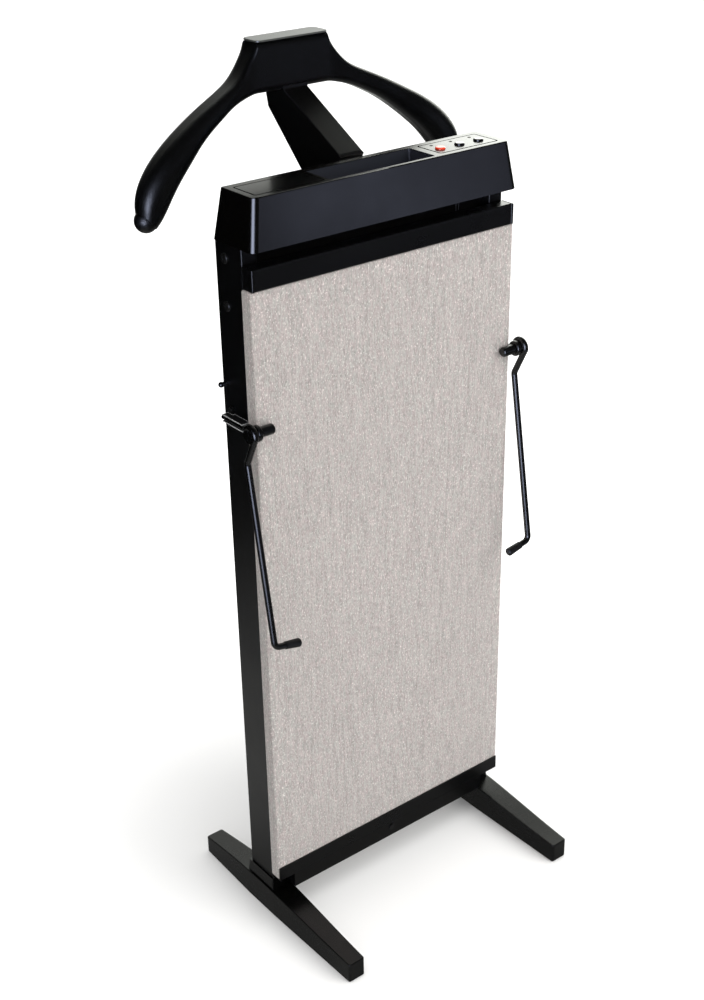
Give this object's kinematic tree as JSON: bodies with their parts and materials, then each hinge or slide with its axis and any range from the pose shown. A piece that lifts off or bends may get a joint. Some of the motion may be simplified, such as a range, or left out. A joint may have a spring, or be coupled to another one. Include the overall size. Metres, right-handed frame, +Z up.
{
  "type": "trouser press",
  "caption": "Upright electric trouser press: fabric-covered tilting panel clamped by two side levers, black posts on splayed feet, push-button top housing with tray, jacket hanger behind.",
  "frame": {"origin": "on the floor under the middle of the overall bounding box", "axes": "+Z up, front of the press (pressing panel) towards -Y, +X to the right seen from the front"},
  "size_m": [0.4674, 0.3486, 1.0815],
  "materials": {
    "black_moulding": "satin moulded, fine texture",
    "black_rubber": "matt",
    "black_powder_coat": "satin powder coat",
    "zinc_steel": "zinc plated",
    "black_screw": "black oxide",
    "chipboard": "raw chipboard",
    "grey_fabric": "woven warm grey with pale flecks",
    "heating_mat": "silicone sheet",
    "lead_wire": "insulated wire",
    "black_extrusion": "black anodised",
    "fascia_film": "satin film",
    "red_button": "glossy",
    "black_gloss": "glossy",
    "lamp_lens": "dark tinted lens",
    "circuit_board": "laminate",
    "guide_steel": "black, worn bright along the edges",
    "black_coated_rod": "plastic-dipped rod, glossy",
    "hanger_grain": "satin with leather grain",
    "hanger_cap_grey": "satin dark grey"
  },
  "bodies": {
    "stand": {"blank_plate": "fascia_film", "board_cleats": "chipboard", "board_switches": "black_gloss", "cable_gland": "black_moulding", "cable_hooks": "black_moulding", "control_board": "circuit_board", "control_fascia": "fascia_film", "cover_screws": "zinc_steel", "crossbar_screw": "black_screw", "fixed_pad": "grey_fabric", "foot_bolts": "zinc_steel", "foot_glides": "black_rubber", "foot_left": "black_moulding", "foot_right": "black_moulding", "guide_screws": "zinc_steel", "hanger_body": "hanger_grain", "hanger_cap": "hanger_cap_grey", "hanger_neck": "black_moulding", "heater_leads": "lead_wire", "heating_mat": "heating_mat", "hinge_ears": "black_powder_coat", "indicator_lamps": "lamp_lens", "lamp_stems": "lamp_lens", "lower_crossbar": "black_powder_coat", "mains_cable": "black_rubber", "mains_plug": "black_moulding", "neck_bolts": "black_screw", "plug_pins": "zinc_steel", "post_screws": "black_screw", "pressing_board": "chipboard", "rear_cover": "black_powder_coat", "rear_screws": "black_screw", "side_pegs": "black_gloss", "side_post_left": "black_powder_coat", "side_post_right": "black_powder_coat", "stay_guide_left": "guide_steel", "stay_guide_right": "guide_steel", "top_cover": "black_moulding", "transformer": "black_gloss", "upper_crossmember": "black_powder_coat"},
    "front_panel": {"panel_board": "chipboard", "panel_pad": "grey_fabric", "panel_lip": "black_extrusion", "panel_top_bar": "black_extrusion", "bar_end_caps": "black_moulding", "hinge_leaves": "zinc_steel", "hinge_pins": "zinc_steel", "leaf_screws": "zinc_steel"},
    "stay_left": {"stay_rod_left": "black_coated_rod"},
    "lever_left": {"lever_rod_left": "black_coated_rod", "bar_sleeve_left": "black_rubber", "lever_grip_left": "black_rubber"},
    "stay_right": {"stay_rod_right": "black_coated_rod"},
    "lever_right": {"lever_rod_right": "black_coated_rod", "bar_sleeve_right": "black_rubber", "lever_grip_right": "black_rubber"},
    "power_button": {"power_button": "red_button"},
    "timer_button_short": {"timer_button_short": "black_gloss"},
    "timer_button_long": {"timer_button_long": "black_gloss"}
  },
  "joints": [
    {"name": "panel_tilt", "type": "hinge", "parent": "stand", "child": "front_panel", "pos_m": [0, -0.0073, 0.076], "axis": [1, 0, 0], "range_deg": [0, 3.5]},
    {"name": "stay_slide_left", "type": "slide", "parent": "stand", "child": "stay_left", "axis": [0, -1, 0], "range_m": [0, 0.0388]},
    {"name": "lever_swing_left", "type": "hinge", "parent": "stay_left", "child": "lever_left", "pos_m": [-0.1938, -0.0359, 0.706], "axis": [-1, 0, 0], "range_deg": [0, 110]},
    {"name": "stay_slide_right", "type": "slide", "parent": "stand", "child": "stay_right", "axis": [0, -1, 0], "range_m": [0, 0.0388]},
    {"name": "lever_swing_right", "type": "hinge", "parent": "stay_right", "child": "lever_right", "pos_m": [0.1938, -0.0359, 0.706], "axis": [-1, 0, 0], "range_deg": [0, 110]},
    {"name": "power_button_press", "type": "slide", "parent": "stand", "child": "power_button", "axis": [0, 0, -1], "range_m": [0, 0.0015], "stiffness_N_per_m": 600, "springref_m": -0.0005},
    {"name": "timer_button_short_press", "type": "slide", "parent": "stand", "child": "timer_button_short", "axis": [0, 0, -1], "range_m": [0, 0.0015], "stiffness_N_per_m": 600, "springref_m": -0.0005},
    {"name": "timer_button_long_press", "type": "slide", "parent": "stand", "child": "timer_button_long", "axis": [0, 0, -1], "range_m": [0, 0.0015], "stiffness_N_per_m": 600, "springref_m": -0.0005}
  ],
  "couplings": [
    {"joint": "stay_slide_left", "follows": "panel_tilt", "m_per_rad": 0.634},
    {"joint": "lever_swing_left", "follows": "panel_tilt", "ratio": 31.4},
    {"joint": "stay_slide_right", "follows": "panel_tilt", "m_per_rad": 0.634},
    {"joint": "lever_swing_right", "follows": "panel_tilt", "ratio": 31.4}
  ]
}
